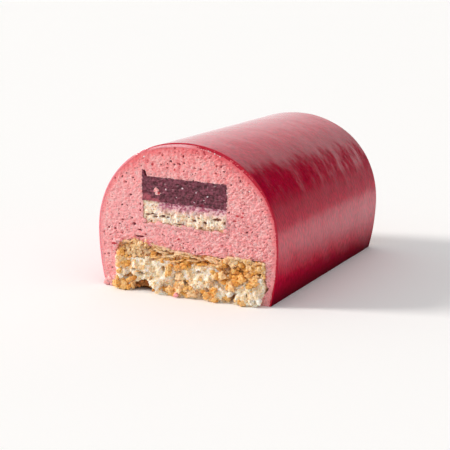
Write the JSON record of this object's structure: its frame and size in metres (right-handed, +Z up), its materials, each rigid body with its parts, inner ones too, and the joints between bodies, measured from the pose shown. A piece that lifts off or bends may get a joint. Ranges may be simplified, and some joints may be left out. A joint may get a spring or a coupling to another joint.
{
  "type": "mini yule log",
  "caption": "Short glazed mousse log with an arched top, cut square so that its jelly, sponge and crunch layers show; stands on its flat foot.",
  "frame": {"origin": "middle of the footprint, on the surface the log stands on", "axes": "+X across the cut face, +Y along the log away from the front cut, +Z up"},
  "size_m": [0.056, 0.0846, 0.0426],
  "materials": {
    "glaze": "deep red mirror glaze, set and glossy",
    "mousse": "pink aerated fruit mousse, cut, with fine pores",
    "jelly": "dark fruit jelly, cut, faintly moist",
    "insert_crumb": "cream sponge crumb, stained by the jelly above",
    "crunch": "golden toasted nut and biscuit crumble",
    "base_crumb": "torn pale almond sponge crumb"
  },
  "bodies": {
    "root": {"mirror_glaze": "glaze", "mousse": "mousse", "fruit_jelly": "jelly", "insert_sponge": "insert_crumb", "nut_crunch": "crunch", "base_sponge": "base_crumb"}
  },
  "joints": []
}
